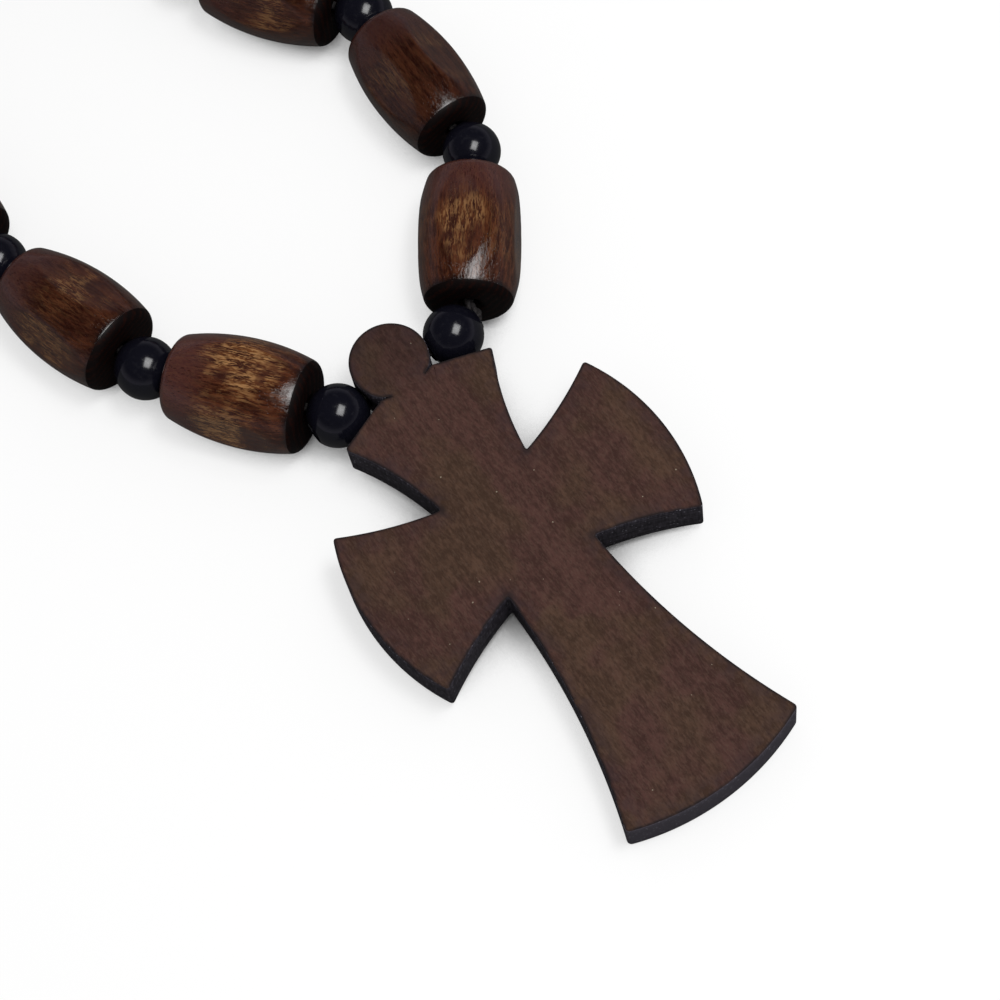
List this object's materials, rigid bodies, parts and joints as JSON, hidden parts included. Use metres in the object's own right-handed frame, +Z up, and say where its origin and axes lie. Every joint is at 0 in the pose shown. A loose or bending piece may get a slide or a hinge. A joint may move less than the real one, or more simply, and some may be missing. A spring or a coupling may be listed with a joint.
{
  "type": "rosary",
  "caption": "Flat flared wooden cross with a drilled knob, strung on a closed loop of faceted barrel beads and small round spacer beads.",
  "frame": {"origin": "on the table, under the middle of the outline of the loop and cross as laid flat", "axes": "+Y up the cross from its foot to the loop, +Z up from the table, +X to the cross's right as seen from above"},
  "size_m": [0.0558, 0.1366, 0.0104],
  "materials": {
    "cross_wood": "matte dark stain",
    "barrel_wood": "glossy varnish",
    "spacer_black": "gloss",
    "cord": "satin"
  },
  "bodies": {
    "cross": {"cross": "cross_wood"},
    "row_1": {"cord_row_1": "cord"},
    "row_2": {"cord_row_2": "cord"},
    "row_3": {"cord_row_3": "cord"},
    "row_4": {"cord_row_4": "cord"},
    "row_5": {"cord_row_5": "cord"},
    "spacer_right_0": {"spacer_right_0": "spacer_black"},
    "barrel_right_1": {"barrel_right_1": "barrel_wood"},
    "spacer_right_1": {"spacer_right_1": "spacer_black"},
    "barrel_right_2": {"barrel_right_2": "barrel_wood"},
    "spacer_right_2": {"spacer_right_2": "spacer_black"},
    "barrel_right_3": {"barrel_right_3": "barrel_wood"},
    "spacer_right_3": {"spacer_right_3": "spacer_black"},
    "barrel_right_4": {"barrel_right_4": "barrel_wood"},
    "spacer_right_4": {"spacer_right_4": "spacer_black"},
    "barrel_right_5": {"barrel_right_5": "barrel_wood"},
    "spacer_left_0": {"spacer_left_0": "spacer_black"},
    "barrel_left_1": {"barrel_left_1": "barrel_wood"},
    "spacer_left_1": {"spacer_left_1": "spacer_black"},
    "barrel_left_2": {"barrel_left_2": "barrel_wood"},
    "spacer_left_2": {"spacer_left_2": "spacer_black"},
    "barrel_left_3": {"barrel_left_3": "barrel_wood"},
    "spacer_left_3": {"spacer_left_3": "spacer_black"},
    "barrel_left_4": {"barrel_left_4": "barrel_wood"},
    "spacer_left_4": {"spacer_left_4": "spacer_black"},
    "barrel_left_5": {"barrel_left_5": "barrel_wood"},
    "spacer_far": {"spacer_far": "spacer_black"}
  },
  "joints": [
    {"name": "loop_swing", "type": "hinge", "parent": "cross", "child": "row_1", "pos_m": [0.00267, -0.01706, 0.0052], "axis": [1, 0, 0], "range_deg": [-75, 75]},
    {"name": "loop_fold_1", "type": "hinge", "parent": "row_1", "child": "row_2", "pos_m": [0.00328, -0.00153, 0.0052], "axis": [0.9998, -0.0182, 0], "range_deg": [-45, 45]},
    {"name": "loop_fold_2", "type": "hinge", "parent": "row_2", "child": "row_3", "pos_m": [0.00099, 0.01786, 0.0052], "axis": [1, 0.0003, 0], "range_deg": [-45, 45]},
    {"name": "loop_fold_3", "type": "hinge", "parent": "row_3", "child": "row_4", "pos_m": [-0.00562, 0.03602, 0.0052], "axis": [0.9971, -0.0766, 0], "range_deg": [-45, 45]},
    {"name": "loop_fold_4", "type": "hinge", "parent": "row_4", "child": "row_5", "pos_m": [-0.00411, 0.0557, 0.0052], "axis": [0.9971, -0.0766, 0], "range_deg": [-38, 38]},
    {"name": "spacer_right_0_spin", "type": "hinge", "parent": "row_1", "child": "spacer_right_0", "pos_m": [0.0094, -0.01706, 0.0052], "axis": [1, 0, 0], "continuous": true},
    {"name": "barrel_right_1_spin", "type": "hinge", "parent": "row_1", "child": "barrel_right_1", "pos_m": [0.0165, -0.00982, 0.0052], "axis": [0.5948, 0.8039, 0], "continuous": true},
    {"name": "spacer_right_1_spin", "type": "hinge", "parent": "row_1", "child": "spacer_right_1", "pos_m": [0.02238, -0.00188, 0.0052], "axis": [0.3297, 0.9441, 0], "continuous": true},
    {"name": "barrel_right_2_spin", "type": "hinge", "parent": "row_2", "child": "barrel_right_2", "pos_m": [0.02272, 0.008, 0.0052], "axis": [0.0349, 0.9994, 0], "continuous": true},
    {"name": "spacer_right_2_spin", "type": "hinge", "parent": "row_2", "child": "spacer_right_2", "pos_m": [0.02307, 0.01787, 0.0052], "axis": [-0.2588, 0.9659, 0], "continuous": true},
    {"name": "barrel_right_3_spin", "type": "hinge", "parent": "row_3", "child": "barrel_right_3", "pos_m": [0.01783, 0.02625, 0.0052], "axis": [-0.5299, 0.848, 0], "continuous": true},
    {"name": "spacer_right_3_spin", "type": "hinge", "parent": "row_3", "child": "spacer_right_3", "pos_m": [0.0126, 0.03462, 0.0052], "axis": [-0.2631, 0.9648, 0], "continuous": true},
    {"name": "barrel_right_4_spin", "type": "hinge", "parent": "row_4", "child": "barrel_right_4", "pos_m": [0.01285, 0.0445, 0.0052], "axis": [0.0261, 0.9997, 0], "continuous": true},
    {"name": "spacer_right_4_spin", "type": "hinge", "parent": "row_4", "child": "spacer_right_4", "pos_m": [0.01311, 0.05437, 0.0052], "axis": [-0.4624, 0.8867, 0], "continuous": true},
    {"name": "barrel_right_5_spin", "type": "hinge", "parent": "row_5", "child": "barrel_right_5", "pos_m": [0.00487, 0.05982, 0.0052], "axis": [-0.8346, 0.5509, 0], "continuous": true},
    {"name": "spacer_left_0_spin", "type": "hinge", "parent": "row_1", "child": "spacer_left_0", "pos_m": [-0.00406, -0.01706, 0.0052], "axis": [1, 0, 0], "continuous": true},
    {"name": "barrel_left_1_spin", "type": "hinge", "parent": "row_1", "child": "barrel_left_1", "pos_m": [-0.00994, -0.00912, 0.0052], "axis": [-0.5948, 0.8039, 0], "continuous": true},
    {"name": "spacer_left_1_spin", "type": "hinge", "parent": "row_1", "child": "spacer_left_1", "pos_m": [-0.01581, -0.00118, 0.0052], "axis": [-0.4384, 0.8988, 0], "continuous": true},
    {"name": "barrel_left_2_spin", "type": "hinge", "parent": "row_2", "child": "barrel_left_2", "pos_m": [-0.01845, 0.00834, 0.0052], "axis": [-0.2672, 0.9636, 0], "continuous": true},
    {"name": "spacer_left_2_spin", "type": "hinge", "parent": "row_2", "child": "spacer_left_2", "pos_m": [-0.02109, 0.01786, 0.0052], "axis": [-0.2036, 0.979, 0], "continuous": true},
    {"name": "barrel_left_3_spin", "type": "hinge", "parent": "row_3", "child": "barrel_left_3", "pos_m": [-0.02247, 0.02764, 0.0052], "axis": [-0.1392, 0.9903, 0], "continuous": true},
    {"name": "spacer_left_3_spin", "type": "hinge", "parent": "row_3", "child": "spacer_left_3", "pos_m": [-0.02384, 0.03742, 0.0052], "axis": [-0.0062, 1, 0], "continuous": true},
    {"name": "barrel_left_4_spin", "type": "hinge", "parent": "row_4", "child": "barrel_left_4", "pos_m": [-0.02259, 0.04722, 0.0052], "axis": [0.1269, 0.9919, 0], "continuous": true},
    {"name": "spacer_left_4_spin", "type": "hinge", "parent": "row_4", "child": "spacer_left_4", "pos_m": [-0.02134, 0.05702, 0.0052], "axis": [0.5923, 0.8057, 0], "continuous": true},
    {"name": "barrel_left_5_spin", "type": "hinge", "parent": "row_5", "child": "barrel_left_5", "pos_m": [-0.01236, 0.06114, 0.0052], "axis": [0.9089, 0.417, 0], "continuous": true},
    {"name": "spacer_far_spin", "type": "hinge", "parent": "row_5", "child": "spacer_far", "pos_m": [-0.00338, 0.06526, 0.0052], "axis": [-0.9971, 0.0766, 0], "continuous": true}
  ]
}
